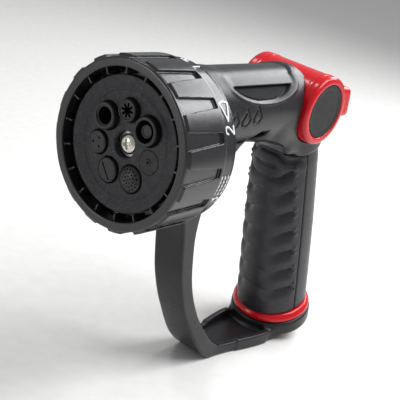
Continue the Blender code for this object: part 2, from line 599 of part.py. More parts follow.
def click_ring():
    """Ring behind the distributor with a dimple for each outlet's click."""
    made = ring("click_ring", 32.6, 24.4, 22.6, 26.6, TURRET_AXIS, "inner_plastic", steps=36)
    for i in range(PATTERNS):
        angle = 2.0 * math.pi * (i + 0.5) / PATTERNS
        dimple = rod(f"dimple_{i}", 2.1, 25.4, 28.0, TURRET_AXIS, steps=12,
                     at=(CLICK_CIRCLE * math.sin(angle), CLICK_CIRCLE * math.cos(angle), 0.0))
        cut(made, dimple)
    return made


def build():
    body_housing()
    hand_guard()
    grip_pieces()
    water_inlet()
    valve_pieces()
    spindle_pieces()
    thumb_lever()
    grip_ring()
    face_plate()
    distributor_plate()
    outlets()
    head_core()


build()
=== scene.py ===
"""Looks for the hose spray nozzle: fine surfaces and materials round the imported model.

Shapes are drawn in millimetres from the point where the handle's axis crosses the height of the
turret's axis: x across, y to the back, z up. A solid is a signed distance, below zero inside.
"""
import json
import math

import bpy
import numpy as np
from mathutils import Matrix, Vector


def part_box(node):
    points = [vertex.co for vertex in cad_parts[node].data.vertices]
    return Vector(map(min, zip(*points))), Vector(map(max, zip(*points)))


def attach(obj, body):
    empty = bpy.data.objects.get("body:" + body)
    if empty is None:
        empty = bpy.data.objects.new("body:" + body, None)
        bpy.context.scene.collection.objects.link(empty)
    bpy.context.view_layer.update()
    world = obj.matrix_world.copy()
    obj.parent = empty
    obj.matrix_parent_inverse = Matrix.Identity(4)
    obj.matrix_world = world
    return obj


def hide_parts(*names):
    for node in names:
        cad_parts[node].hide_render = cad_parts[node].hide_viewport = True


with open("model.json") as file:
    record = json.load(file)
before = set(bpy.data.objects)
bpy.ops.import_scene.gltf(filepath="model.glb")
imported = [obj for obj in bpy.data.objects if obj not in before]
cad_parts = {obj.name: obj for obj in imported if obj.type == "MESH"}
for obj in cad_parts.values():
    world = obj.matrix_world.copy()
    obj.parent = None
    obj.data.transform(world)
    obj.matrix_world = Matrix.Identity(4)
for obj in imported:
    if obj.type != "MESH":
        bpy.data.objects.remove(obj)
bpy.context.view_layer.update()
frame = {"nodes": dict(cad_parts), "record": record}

MM = 0.001
FINE = 1.0

# ---- places, read from the frame -------------------------------------------------------------
JOINTS = {joint["name"]: joint for joint in frame["record"]["behaviour"]["joints"]}
MOUNTS = {mount["name"]: mount for mount in frame["record"]["mounts"]}
FOOT = Vector(MOUNTS["hose_thread"]["pos_m"]) / MM
FOOT_AXIS = Vector(MOUNTS["hose_thread"]["axis"])
AXIS_Z = JOINTS["turret_spin"]["pos_m"][2] / MM
HANDLE_LEAN = math.atan2(FOOT_AXIS.y, -FOOT_AXIS.z)
CROSS_Y = FOOT.y - (AXIS_Z - FOOT.z) * math.tan(HANDLE_LEAN)
GROUND = -AXIS_Z
HEAD_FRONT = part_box("turret_ring")[0][1] / MM - CROSS_Y
LEVER_Y = JOINTS["thumb_lever_hinge"]["pos_m"][1] / MM - CROSS_Y
LEVER_Z = JOINTS["thumb_lever_hinge"]["pos_m"][2] / MM - AXIS_Z
HEAD_RADIUS = 40.2                          # over the pads of the grip ring
POCKET_RADIUS = 38.9                        # at the bottom of the pockets between the pads
COLLAR_RADIUS = 38.5
RING_BACK = (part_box("turret_ring")[1][1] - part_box("turret_ring")[0][1]) / MM
LABEL_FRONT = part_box("label_collar")[0][1] / MM - CROSS_Y - HEAD_FRONT
LABEL_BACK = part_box("label_collar")[1][1] / MM - CROSS_Y - HEAD_FRONT
BARREL_RISE = 15.0
BARREL_RADIUS = 20.2
BARREL_END = -15.5                          # the barrel's rear face, a lip over the lever's saddle
SADDLE_FRONT = -20.5                        # the saddle's front edge, under that lip
LEVER_RADIUS = 18.7                         # over the lever's cheeks and its saddle
CHEEK_OUTER_X = 23.4
CAP_SEAT_X = 20.2
DRUM_RADIUS = 16.0                          # the housing's round between the lever's cheeks
LEVER_GAP = 0.4                             # between the lever and the drum
LEVER_CLEARANCE = 0.3                       # past the lever's radius, where it passes the housing
FLANGE_RADIUS = 35.6
FLANGE_FRONT = 31.4
FLANGE_BACK = 35.6
GRIP_END = 117.5                            # these three are distances down the handle's axis
ACCENT_END = 122.6
COLLAR_END = 132.5
GRIP_GAP = 0.3                              # between the red ring and its neighbours
BASE_RADIUS = 24.0
GRIP_OVAL = 1.1                             # the handle is this much deeper than it is wide
PATTERNS = 7
PADS = 16
FINS = 18


# ---- signed distances ------------------------------------------------------------------------
def union(a, b, blend=0.0):
    """Either solid; blend rounds the corner where they join."""
    if not blend:
        return np.minimum(a, b)
    near = np.maximum(blend - np.abs(a - b), 0.0) / blend
    return np.minimum(a, b) - near * near * blend * 0.25


def meet(a, b, blend=0.0):
    """What both solids share."""
    return -union(-a, -b, blend)


def cut(a, b, blend=0.0):
    """The first solid without the second."""
    return meet(a, -b, blend)


def ramp(value, start, end):
    """0 before start, 1 after end, smooth between."""
    t = np.clip((value - start) / (end - start), 0.0, 1.0)
    return t * t * (3.0 - 2.0 * t)


def bump(value, middle, width):
    """1 at the middle, fading out smoothly to both sides."""
    return np.exp(-((value - middle) / width) ** 2)


def wrapped(value, period):
    """The value's distance past the nearest whole number of periods."""
    return value - period * np.round(value / period)


def outline(u, v, points):
    """Distance to a closed outline of (u, v) points."""
    best = np.full(np.broadcast(u, v).shape, 1e9)
    inside = np.zeros(best.shape, bool)
    for (u0, v0), (u1, v1) in zip(points, points[1:] + points[:1]):
        du, dv = u1 - u0, v1 - v0
        t = np.clip(((u - u0) * du + (v - v0) * dv) / (du * du + dv * dv), 0.0, 1.0)
        best = np.minimum(best, (u - u0 - t * du) ** 2 + (v - v0 - t * dv) ** 2)
        if dv:
            inside ^= ((v0 > v) != (v1 > v)) & (u < u0 + du * (v - v0) / dv)
    return np.where(inside, -1.0, 1.0) * np.sqrt(best)


def flowing(points, steps=5):
    """A closed outline rounded through its (u, v) points; a point with a third item is a corner."""
    count = len(points)
    spots = [np.array(p[:2], float) for p in points]
    made = []
    for i in range(count):
        here, there = spots[i], spots[(i + 1) % count]
        leave = there - here if len(points[i]) > 2 else (there - spots[i - 1]) / 2.0
        arrive = (there - here if len(points[(i + 1) % count]) > 2
                  else (spots[(i + 2) % count] - here) / 2.0)
        for k in range(steps):
            t = k / steps
            made.append(tuple((2 * t**3 - 3 * t**2 + 1) * here + (t**3 - 2 * t**2 + t) * leave
                              + (3 * t**2 - 2 * t**3) * there + (t**3 - t**2) * arrive))
    return made


CORNERS = np.array([[i, j, k] for i in (0, 1) for j in (0, 1) for k in (0, 1)])
CELL_EDGES = [(a, b) for a in range(8) for b in range(a + 1, 8)
              if np.abs(CORNERS[a] - CORNERS[b]).sum() == 1]


def surface_points(solid, field, cells, low, cell):
    """One point in each cell the surface crosses, pulled on to the surface."""
    values = np.stack([field[tuple((cells + corner).T)] for corner in CORNERS], 1)
    place = np.zeros((len(cells), 3))
    hits = np.zeros(len(cells))
    for a, b in CELL_EDGES:
        crossed = (values[:, a] < 0.0) != (values[:, b] < 0.0)
        rise = np.where(crossed, values[:, a] - values[:, b], 1.0)
        along = CORNERS[a] + (values[:, a] / rise)[:, None] * (CORNERS[b] - CORNERS[a])
        place += crossed[:, None] * along
        hits += crossed
    points = low + cell * (cells + place / hits[:, None])
    step = 0.1 * cell
    for _ in range(2):
        here = solid(*points.T)
        slope = np.stack([(solid(*(points + step * way).T) - here) / step for way in np.eye(3)], 1)
        size = np.maximum((slope ** 2).sum(1), 0.25)
        points -= np.clip(here / size, -0.4 * cell, 0.4 * cell)[:, None] * slope
    return points


def surface_quads(inside, number):
    """The quads between neighbouring cells, one for each grid edge that the surface crosses."""
    made = []
    for axis in range(3):
        b, c = (axis + 1) % 3, (axis + 2) % 3
        first = np.take(inside, range(inside.shape[axis] - 1), axis)
        second = np.take(inside, range(1, inside.shape[axis]), axis)
        p = np.argwhere(first != second)
        p = p[(p[:, b] > 0) & (p[:, c] > 0)
              & (p[:, b] < inside.shape[b] - 1) & (p[:, c] < inside.shape[c] - 1)]
        way_b, way_c = np.eye(3, dtype=int)[b], np.eye(3, dtype=int)[c]
        quad = np.stack([number[tuple((p - shift).T)]
                         for shift in (0 * way_b, way_b, way_b + way_c, way_c)], 1)
        outward = first[tuple(p.T)]
        made.append(np.where(outward[:, None], quad, quad[:, ::-1]))
    return np.concatenate(made)


def skin(name, solid, low, high, cell, look):
    """A mesh round the solid inside a box, by surface nets on a grid of cells."""
    cell = cell * FINE
    low = np.array(low, float) - 2.0 * cell
    counts = np.ceil((np.array(high) + 2.0 * cell - low) / cell).astype(int) + 1
    axes = [low[i] + cell * np.arange(counts[i]) for i in range(3)]
    field = solid(*np.meshgrid(*axes, indexing="ij", sparse=True)).astype(np.float32)
    inside = field < 0.0
    total = np.zeros([n - 1 for n in counts], np.int8)
    for i, j, k in CORNERS:
        total += inside[i:counts[0] - 1 + i, j:counts[1] - 1 + j, k:counts[2] - 1 + k]
    cells = np.argwhere((total > 0) & (total < 8))
    number = np.full(total.shape, -1, np.int32)
    number[tuple(cells.T)] = np.arange(len(cells))
    points = surface_points(solid, field, cells, low, cell)
    quads = surface_quads(inside, number)
    mesh = bpy.data.meshes.new(name)
    mesh.from_pydata(((points + (0.0, CROSS_Y, AXIS_Z)) * MM).tolist(), [], quads.tolist())
    return piece(name, mesh, look)


# ---- pieces ----------------------------------------------------------------------------------
def piece(name, mesh, look):
    """A smooth-shaded object with one material."""
    made = bpy.data.objects.new(name, mesh)
    bpy.context.scene.collection.objects.link(made)
    mesh.materials.append(look)
    mesh.shade_smooth()
    return made


def belongs(made, body, slot, *nodes):
    """The piece moves with a body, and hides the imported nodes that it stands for."""
    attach(made, body)
    if nodes:
        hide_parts(*nodes)
    return made


def handle_way(y, z):
    """Distances down the handle's axis, and forward of it."""
    down = y * math.sin(HANDLE_LEAN) - z * math.cos(HANDLE_LEAN)
    forward = -y * math.cos(HANDLE_LEAN) - z * math.sin(HANDLE_LEAN)
    return down, forward


def round_handle(x, y, z):
    """handle_way, then the distance out over the handle's oval and the angle from its front."""
    down, forward = handle_way(y, z)
    return down, forward, np.hypot(x, forward / GRIP_OVAL), np.arctan2(np.abs(x), forward)


def from_lever_axis(y, z):
    return np.hypot(y - LEVER_Y, z - LEVER_Z)


# ---- materials -------------------------------------------------------------------------------
class Nodes:
    """Short ways to add and join a material's shader nodes."""

    def __init__(self, name):
        self.material = bpy.data.materials.new(name)
        self.material.use_nodes = True
        self.tree = self.material.node_tree
        self.shader = self.tree.nodes["Principled BSDF"]
        place = self.tree.nodes.new("ShaderNodeTexCoord")
        self.place = place.outputs["Object"]

    def link(self, out, into):
        self.tree.links.new(out, into)

    def noise(self, size_mm, detail=2.0, rough=0.5):
        made = self.tree.nodes.new("ShaderNodeTexNoise")
        made.inputs["Scale"].default_value = 1.0 / (size_mm * MM)
        made.inputs["Detail"].default_value = detail
        made.inputs["Roughness"].default_value = rough
        self.link(self.place, made.inputs["Vector"])
        return made.outputs["Fac"]

    def spread(self, value, low, high, start=0.3, end=0.7):
        made = self.tree.nodes.new("ShaderNodeMapRange")
        made.inputs["From Min"].default_value = start
        made.inputs["From Max"].default_value = end
        made.inputs["To Min"].default_value = low
        made.inputs["To Max"].default_value = high
        self.link(value, made.inputs["Value"])
        return made.outputs["Result"]

    def tint(self, value, first, second):
        """A colour between two fixed colours."""
        made = self.tree.nodes.new("ShaderNodeMix")
        made.data_type = "RGBA"
        made.inputs[6].default_value = (*first, 1.0)
        made.inputs[7].default_value = (*second, 1.0)
        self.link(value, made.inputs[0])
        return made.outputs[2]

    def mix(self, value, first, second):
        """A colour between two linked colours."""
        made = self.tree.nodes.new("ShaderNodeMix")
        made.data_type = "RGBA"
        self.link(first, made.inputs[6])
        self.link(second, made.inputs[7])
        self.link(value, made.inputs[0])
        return made.outputs[2]

    def edges(self, start=0.52, end=0.62):
        """0 on faces, up to 1 where the surface bends outwards."""
        made = self.tree.nodes.new("ShaderNodeNewGeometry")
        return self.spread(made.outputs["Pointiness"], 0.0, 1.0, start, end)

    def raised(self, height, strength, distance_mm, normal=None):
        made = self.tree.nodes.new("ShaderNodeBump")
        made.inputs["Strength"].default_value = strength
        made.inputs["Distance"].default_value = distance_mm * MM
        self.link(height, made.inputs["Height"])
        if normal:
            self.link(normal, made.inputs["Normal"])
        return made.outputs["Normal"]

    def coat(self, weight, roughness):
        self.shader.inputs["Coat Weight"].default_value = weight
        self.shader.inputs["Coat Roughness"].default_value = roughness


def moulded(name, color, other, roughness, grain_mm=0.35, grain=0.25, wear=0.0, shine=0.5):
    """Moulded plastic: cloudy colour, a fine spark-eroded grain and convex edges painted lighter, partly as
    rubbed wear and partly as a painted highlight.
    """
    made = Nodes(name)
    cloud = made.tint(made.spread(made.noise(9.0, 3.0), 0.0, 1.0), color, other)
    # Convex edges are painted lighter: partly rubbed wear, partly a painted highlight for edges that catch
    # the light.
    if wear:
        worn_and_highlight_colour = tuple(min(1.0, c * 2.2 + 0.05) for c in color)
        scuffed_and_highlight = made.tint(made.noise(1.5, 3.0), worn_and_highlight_colour, other)
        share = made.spread(made.edges(), 0.0, wear, 0.0, 1.0)
        cloud = made.mix(share, cloud, scuffed_and_highlight)
    made.link(cloud, made.shader.inputs["Base Color"])
    low, high = roughness
    made.link(made.spread(made.noise(3.0, 4.0, 0.6), low, high), made.shader.inputs["Roughness"])
    fine = made.raised(made.noise(grain_mm, 2.0), grain, 0.05)
    broad = made.raised(made.noise(14.0, 1.0), 0.08, 0.3, fine)
    made.link(broad, made.shader.inputs["Normal"])
    made.shader.inputs["Specular IOR Level"].default_value = shine
    return made


def plain(name, color, other, roughness, **more):
    return moulded(name, color, other, roughness, **more).material


def red_gloss():
    made = moulded("red_gloss", (0.62, 0.004, 0.010), (0.54, 0.003, 0.008), (0.18, 0.26), grain=0.05)
    made.coat(0.12, 0.05)
    made.shader.inputs["Specular IOR Level"].default_value = 0.35
    return made.material


def speckled():
    """The face's coarse grain, with pale and dark flecks."""
    made = moulded("speckled_face", (0.008, 0.008, 0.010), (0.012, 0.011, 0.015), (0.45, 0.65),
                   grain_mm=0.6, grain=0.7)
    flecks = made.spread(made.noise(0.7, 1.0), 0.0, 1.0, 0.60, 0.68)
    made.link(made.tint(flecks, (0.010, 0.010, 0.013), (0.045, 0.044, 0.052)),
              made.shader.inputs["Base Color"])
    return made.material


def turned_metal(name, color, other, roughness, band_mm=0.2):
    made = Nodes(name)
    cloud = made.tint(made.spread(made.noise(4.0, 3.0), 0.0, 1.0), color, other)
    made.link(cloud, made.shader.inputs["Base Color"])
    low, high = roughness
    made.link(made.spread(made.noise(1.2, 4.0), low, high), made.shader.inputs["Roughness"])
    made.link(made.raised(made.noise(band_mm, 2.0), 0.12, 0.03), made.shader.inputs["Normal"])
    made.shader.inputs["Metallic"].default_value = 1.0
    return made.material


HOUSING_GREY = plain("housing_grey", (0.016, 0.016, 0.018), (0.020, 0.020, 0.023), (0.27, 0.35),
                     shine=0.3)
POCKET_MATT = plain("pocket_matt", (0.020, 0.020, 0.022), (0.024, 0.024, 0.026), (0.75, 0.85),
                    shine=0.1)
# The head's lighter edges are partly wear and partly a painted highlight.
HEAD_BLACK = plain("head_black", (0.010, 0.010, 0.012), (0.014, 0.014, 0.016), (0.20, 0.27), wear=0.12,
                   shine=0.7)
FACE_CHARCOAL = speckled()
OUTLET_BLACK = plain("outlet_black", (0.006, 0.006, 0.007), (0.010, 0.010, 0.011), (0.3, 0.45))
SPINE_GREY = plain("spine_grey", (0.018, 0.018, 0.020), (0.023, 0.023, 0.026), (0.30, 0.42),
                   shine=0.32)
GRIP_RUBBER = plain("grip_rubber", (0.016, 0.014, 0.018), (0.021, 0.019, 0.024), (0.42, 0.58),
                    grain_mm=0.5, grain=0.45)
RED_GLOSS = red_gloss()
CAP_GREY = plain("cap_grey", (0.024, 0.025, 0.024), (0.029, 0.030, 0.029), (0.5, 0.62), grain=0.5,
                 shine=0.25)
WHITE_INK = plain("white_ink", (0.80, 0.81, 0.82), (0.72, 0.73, 0.75), (0.4, 0.6))
ACETAL = plain("white_acetal", (0.66, 0.66, 0.63), (0.72, 0.72, 0.70), (0.38, 0.5))
SEAL_BLACK = plain("seal_black", (0.012, 0.012, 0.012), (0.018, 0.018, 0.018), (0.55, 0.7))
NICKEL = turned_metal("nickel", (0.74, 0.71, 0.66), (0.62, 0.59, 0.55), (0.14, 0.3))
BRASS = turned_metal("brass", (0.74, 0.52, 0.22), (0.60, 0.40, 0.16), (0.22, 0.4))
STEEL = turned_metal("steel", (0.60, 0.60, 0.60), (0.50, 0.50, 0.51), (0.22, 0.4))


# ---- housing and guard -----------------------------------------------------------------------
RIM_Y, RIM_Z = -55.5, 33.0          # centre of the oval that bounds the barrel's side pocket
RIM_LONG, RIM_HIGH = 28.2, 10.8
LEDGE_Z = 29.0                      # the straight upper edge of that pocket
FLAT_X, FLAT_Z = 0.532, 0.847       # the finger arch is cut square to this slope, on each side
DROP_SPOTS = (-81.5, -72.5, -63.5)
DROP_Y, DROP_Z = -72.5, 15.6        # the middle of the row of drops
DROP_SLOPE = 0.12
DROP_RADIUS, DROP_POINT = 2.9, 4.3
SKIRT_RADIUS = 18.3
SKIRT_HEIGHT = 14.0
SKIRT_ANGLES = (24.0, 128.0)        # the skirt goes round the handle's sides between these


def rim_oval(y, z):
    return (np.hypot((y - RIM_Y) / RIM_LONG, (z - RIM_Z) / RIM_HIGH) - 1.0) * RIM_HIGH


def rim_distance(y, z):
    """Below zero inside the opening of the outer shell round the barrel's top."""
    behind = (y - RIM_Y - RIM_LONG - 2.2 * (z - RIM_Z)) * 0.42
    return union(rim_oval(y, z), meet(RIM_Z - z, behind))


NECK = flowing([
    (-48.0, 6.0, "corner"), (-46.0, 0.0, "corner"), (-33.0, -2.2), (-25.0, -5.0), (-20.5, -9.4),
    (-13.0, -10.2), (1.0, -12.2), (14.0, -11.0), (20.5, -7.0), (19.5, -3.4), (8.0, 1.0, "corner"),
    (-4.0, 12.0, "corner"),
])
UNDER_HOLLOW = [(-80.0, -12.0), (-66.0, 0.0), (-47.0, 7.2), (-46.4, 4.2), (-60.0, -14.0)]


def skirt_edge(angle):
    """How far down the handle the housing's lower edge comes."""
    return 6.6 + 2.4 * ramp(np.degrees(angle), 30.0, 80.0)


def drop_ridges(ax, y, z):
    """Grooves that draw a plain row of water drops on the barrel's side."""
    best = 1e9
    v = z - DROP_Z - DROP_SLOPE * (y - DROP_Y)
    for middle in DROP_SPOTS:
        round_end = np.hypot(y - middle, v + 1.4) - DROP_RADIUS
        point = meet(np.abs(y - middle) * 0.87 + (v - DROP_POINT) * 0.5, -v - 1.4)
        best = union(best, np.abs(union(round_end, point)) - 0.42)
    return meet(best, BARREL_RADIUS - 0.9 - np.hypot(ax, z - BARREL_RISE))


def finger_arch(y):
    """How much the barrel's underside is thinned, just ahead of the handle."""
    return 3.3 * bump(y, -52.0, 5.0)


def pocket_mouth(y, z):
    """Below zero within the side pocket as seen from the side: an oval under a straight ledge."""
    return meet(rim_oval(y, z) + 0.5, z - LEDGE_Z)


def pocket_floor(ax, z):
    """Below zero outside the pocket's floor, which slopes outwards to its lower edge."""
    return (10.4 + 1.1 * (LEDGE_Z - z) - ax) * 0.67


def pocket_liner(x, y, z):
    """The matt skin of the pocket's floor."""
    return meet(pocket_mouth(y, z) + 0.3, np.abs(pocket_floor(np.abs(x), z) + 0.1) - 0.35)


def barrel(x, y, z):
    """The barrel, with the outer shell's lip round its top and a pocket in each side."""
    ax = np.abs(x)
    up = z - BARREL_RISE
    rim = rim_distance(y, z)
    shown = ramp(y, -88.0, -78.0)
    lowered = 0.55 * shown * ramp(-rim, -0.25, 0.25)
    lip = 0.40 * shown * bump(rim, 0.7, 0.6)
    made = meet(np.hypot(x, up) - (BARREL_RADIUS - lowered + lip), y - BARREL_END, 0.9)
    flat = FLAT_X * ax - FLAT_Z * up - BARREL_RADIUS
    made = meet(made, flat + finger_arch(y), 1.5)
    made = meet(made, HEAD_FRONT + FLANGE_FRONT + 1.0 - y)
    return cut(made, meet(pocket_mouth(y, z), pocket_floor(ax, z)), 0.5)


def neck(x, y, z):
    """Joins the barrel to the handle and ends in a skirt round the handle's sides."""
    down, forward, around, angle = round_handle(x, y, z)
    made = meet(outline(y, z, NECK), np.abs(x) - 12.0 - 7.0 * ramp(y, -46.0, -26.0), 5.0)
    made = meet(made, np.hypot(x, np.minimum(forward, 0.0) / GRIP_OVAL) - 17.5, 2.0)
    half = SKIRT_HEIGHT / 2.0
    skirt = meet(around - SKIRT_RADIUS, np.abs(down - skirt_edge(angle) + half) - half, 0.8)
    sides = meet(SKIRT_ANGLES[0] - np.degrees(angle), np.degrees(angle) - SKIRT_ANGLES[1])
    return union(made, meet(skirt, sides), 3.0)


def lever_rooms(ax, y, z):
    """Where the lever's cheeks and its saddle pass, the saddle at rest and as it swings back."""
    out = from_lever_axis(y, z)
    cheeks = meet(out - LEVER_RADIUS - LEVER_CLEARANCE, DRUM_RADIUS - ax)
    saddle = meet(out - LEVER_RADIUS - LEVER_CLEARANCE, DRUM_RADIUS - out)
    at_rest = meet(saddle, meet(SADDLE_FRONT - LEVER_GAP - y, LEVER_Z + 4.5 - z))
    swung = meet(saddle, meet(3.0 - y, 2.4 - z))
    return cheeks, at_rest, swung


def housing(x, y, z):
    """Barrel, drum and neck with room for the lever, and the flange behind the head."""
    ax = np.abs(x)
    drum = meet(from_lever_axis(y, z) - DRUM_RADIUS, ax - 15.8, 1.5)
    body = union(union(barrel(x, y, z), drum, 1.0), neck(x, y, z), 5.0)
    cheeks, at_rest, swung = lever_rooms(ax, y, z)
    body = cut(body, cheeks, 0.4)
    body = cut(body, at_rest)
    body = cut(body, swung)
    body = cut(body, drop_ridges(ax, y, z))
    hollow = outline(y, z, UNDER_HOLLOW)
    body = cut(body, meet(hollow, 8.4 - ax), 1.0)
    flange_middle = HEAD_FRONT + (FLANGE_FRONT + FLANGE_BACK) / 2.0
    flange_half = (FLANGE_BACK - FLANGE_FRONT) / 2.0
    flange = meet(np.hypot(x, z) - FLANGE_RADIUS, np.abs(y - flange_middle) - flange_half, 1.0)
    return union(body, flange, 2.5)


STRAP_HALF_WIDTH = 9.5
FOOT_TOP_Z = -126.4
CHANNEL_FLOOR_Z = -130.2            # a trough runs along the top of the foot bar
CHANNEL_WALL = 3.6
SOCKET_RADIUS = 16.7
SOCKET_TOP = 100.0
STRAP = flowing([
    (-100.0, -2.0, "corner"), (-97.5, -16.0), (-88.8, -37.0), (-83.9, -50.0), (-80.4, -63.0),
    (-75.6, -78.0), (-65.8, -97.5), (-51.0, -118.0), (-40.0, -129.0),
    (-32.0, GROUND, "corner"), (16.0, GROUND, "corner"), (16.0, -126.6, "corner"), (-20.0, -127.4),
    (-29.0, -124.8), (-37.0, -118.8), (-48.6, -106.4), (-58.3, -92.5), (-64.9, -79.7),
    (-69.8, -64.1), (-72.8, -49.3), (-72.3, -32.0), (-68.0, -15.8), (-61.2, -5.6), (-56.0, -1.0),
    (-46.0, 4.0, "corner"), (-60.0, 8.0, "corner"),
])


def strap_half_width(y, z):
    """Widens under the barrel, and along the foot towards the collar."""
    top = 3.0 * ramp(z, -16.0, -4.0)
    bend = 1.6 * ramp(-z, 100.0, 124.0)
    foot = 5.4 * ramp(y, -30.0, 16.0) * ramp(-z, 118.0, 124.0)
    return STRAP_HALF_WIDTH + top + bend + foot


def guard(x, y, z):
    """The strap before the hand, the foot bar, and the collar that holds the hose socket."""
    down, forward = handle_way(y, z)
    beside = np.abs(x) - strap_half_width(y, z)
    strap = meet(outline(y, z, STRAP), beside, 1.5)
    web = meet(meet(-y - 10.0, y - 26.0), meet(z - FOOT_TOP_Z, GROUND - z))
    web = meet(web, beside, 1.6)
    bar = union(strap, web, 2.0)
    channel = meet(meet(CHANNEL_FLOOR_Z - z, beside + CHANNEL_WALL), meet(-y - 31.0, y - 40.0), 1.0)
    bar = cut(bar, channel, 1.2)
    collar_start = ACCENT_END + GRIP_GAP
    collar = meet(np.hypot(x, forward) - BASE_RADIUS,
                  np.abs(down - (collar_start + COLLAR_END) / 2.0) - (COLLAR_END - collar_start) / 2.0,
                  2.4)
    made = union(bar, collar, 4.0)
    made = meet(made, down - COLLAR_END)
    made = meet(made, GROUND - z, 0.4)
    socket = meet(np.hypot(x, forward) - SOCKET_RADIUS, SOCKET_TOP - down)
    made = cut(made, socket, 0.8)
    made = cut(made, np.hypot(x, z - BARREL_RISE) - BARREL_RADIUS + 0.6 + finger_arch(y))
    return meet(made, HEAD_FRONT + FLANGE_BACK - 0.2 - y)


# ---- grip ------------------------------------------------------------------------------------
RIB_PITCH = 13.2
FIRST_RIB = 19.5
RIBS = 7
NUB_SPREAD = 1.9                    # the nubs at the end of each rib are in pairs, this far either side
SEAM_ANGLE = math.radians(79.0)     # where the soft front meets the hard spine
SEAM_RADIUS = 18.0                  # turns an angle at the seam into a distance
CORE_RADIUS = 13.3                  # the handle's inner tube, inside the sleeve and the spine
SPINE_TOP = 9.2
PAD_MIDDLE, PAD_HALF = 61.5, 43.5   # the back pad's place down the handle
PAD_HALF_WIDTH = 6.0
PAD_RIDGE_PITCH = 4.6


def grip_radius(down):
    return np.interp(down, [-8.0, 12.0, 18.0, 40.0, 60.0, 80.0, 100.0, GRIP_END],
                     [16.4, 17.4, 17.9, 18.7, 19.4, 19.8, 20.1, 20.3])


def seam_angle(down):
    """Where the ribs run out, turning further back towards the foot."""
    return np.radians(56.0 + 0.19 * (down - 20.0))


def rib_height(down, angle):
    """Ribs like overlapping scales, each with a sharp lower lip that deepens towards the seam."""
    share = angle / seam_angle(down)
    degrees = np.degrees(angle)
    lowest = 2.2 * bump(degrees, 29.0, 13.0) - 1.2 * ramp(20.0 - degrees, 0.0, 20.0)
    first = -9.0 * (1.0 - ramp(degrees, 0.0, 48.0)) * ramp(28.0 - down, 0.0, 8.0)
    t = (down - FIRST_RIB - lowest + first) / RIB_PITCH
    t = t - np.floor(t)
    scale = ramp(t, 0.0, 0.62) - ramp(t, 0.88, 1.0)
    deep = 1.0 + 2.2 * ramp(share, 0.15, 0.7)
    fade = 1.0 - ramp(share, 0.86, 1.0)
    length = ramp(down, FIRST_RIB - 2.0, FIRST_RIB + 2.0) \
        * (1.0 - ramp(down, FIRST_RIB + RIB_PITCH * (RIBS - 0.5), FIRST_RIB + RIB_PITCH * RIBS))
    return (scale - 1.0) * deep * fade * length


def fold_height(down, angle):
    """The swept folds where the soft grip runs up under the housing."""
    degrees = np.degrees(angle)
    first = 9.2 + 5.6 * ramp(degrees, 12.0, 46.0) - 1.2 * ramp(degrees, 50.0, 64.0)
    second = 17.6 - 0.6 * ramp(degrees, 0.0, 30.0)
    groove = 1.5 * bump(down, first, 1.3) * (1.0 - ramp(degrees, 62.0, 72.0))
    groove = groove + 1.1 * bump(down, second, 1.2) * (1.0 - ramp(degrees, 18.0, 30.0))
    swell = 0.5 * bump(down, first + 4.0, 2.5) + 0.4 * bump(down, first - 4.0, 2.5)
    return swell - groove


def sleeve_top(angle):
    degrees = np.degrees(angle)
    return -5.0 + 14.0 * ramp(degrees, 16.0, 33.0) + 2.0 * ramp(degrees, 33.0, 75.0)


def nub_height(down, angle):
    """Pairs of small nubs where the ribs run out."""
    height = 0.0
    for k in range(RIBS):
        for side in (-NUB_SPREAD, NUB_SPREAD):
            spot_down = FIRST_RIB + RIB_PITCH * k + side
            beside = np.degrees(angle - seam_angle(spot_down)) - 1.0
            height = height + 0.85 * bump(down, spot_down, 1.1) * bump(beside, 0.0, 3.2)
    return height


def grip_sleeve(x, y, z):
    down, _, around, angle = round_handle(x, y, z)
    slim = 1.7 * (1.0 - ramp(down, 8.0, 36.0)) * (1.0 - ramp(np.degrees(angle), 45.0, 75.0))
    relief = rib_height(down, angle) + fold_height(down, angle) + nub_height(down, angle)
    made = around - (grip_radius(down) + relief - slim)
    made = meet(made, sleeve_top(angle) - down, 1.6)
    made = meet(made, down - GRIP_END + 0.1, 0.8)
    made = meet(made, (angle - SEAM_ANGLE) * SEAM_RADIUS, 0.8)
    return meet(made, CORE_RADIUS - around)


def grip_spine(x, y, z):
    down, forward, around, angle = round_handle(x, y, z)
    crown = 0.35 * bump(np.degrees(angle), 112.0, 16.0)
    made = around - grip_radius(down) + 0.15 - crown
    made = meet(made, SPINE_TOP - down, 0.8)
    made = meet(made, down - GRIP_END + 0.1, 0.8)
    made = meet(made, (SEAM_ANGLE - angle) * SEAM_RADIUS + 0.5, 0.8)
    made = meet(made, CORE_RADIUS - around)
    pad_room = meet(np.abs(x) - PAD_HALF_WIDTH - 0.2, np.abs(down - PAD_MIDDLE) - PAD_HALF - 0.3)
    return cut(made, meet(pad_room, forward + 14.0), 0.5)


def back_pad(x, y, z):
    down, forward, around, _ = round_handle(x, y, z)
    along = down - PAD_MIDDLE + PAD_HALF - 0.25 * np.abs(x)
    ridge = 0.45 * np.cos(2.0 * math.pi * along / PAD_RIDGE_PITCH)
    made = around - grip_radius(down) - 0.15 - ridge
    made = meet(made, np.abs(x) - PAD_HALF_WIDTH, 0.8)
    made = meet(made, np.abs(down - PAD_MIDDLE) - PAD_HALF, 1.0)
    return meet(made, meet(forward + 15.0, 15.5 - around))


# ---- lever -----------------------------------------------------------------------------------
PADDLE = flowing([
    (6.0, 27.2, "corner"), (10.8, 10.2, "corner"), (19.0, 8.8), (28.8, 9.0), (31.0, 11.4),
    (29.2, 22.4), (27.2, 25.3), (24.0, 26.0), (15.0, 26.4),
])
PADDLE_HALF_WIDTH = 16.8
CAP_RADIUS = 14.4
SPINDLE_HOLE_RADIUS = 3.7


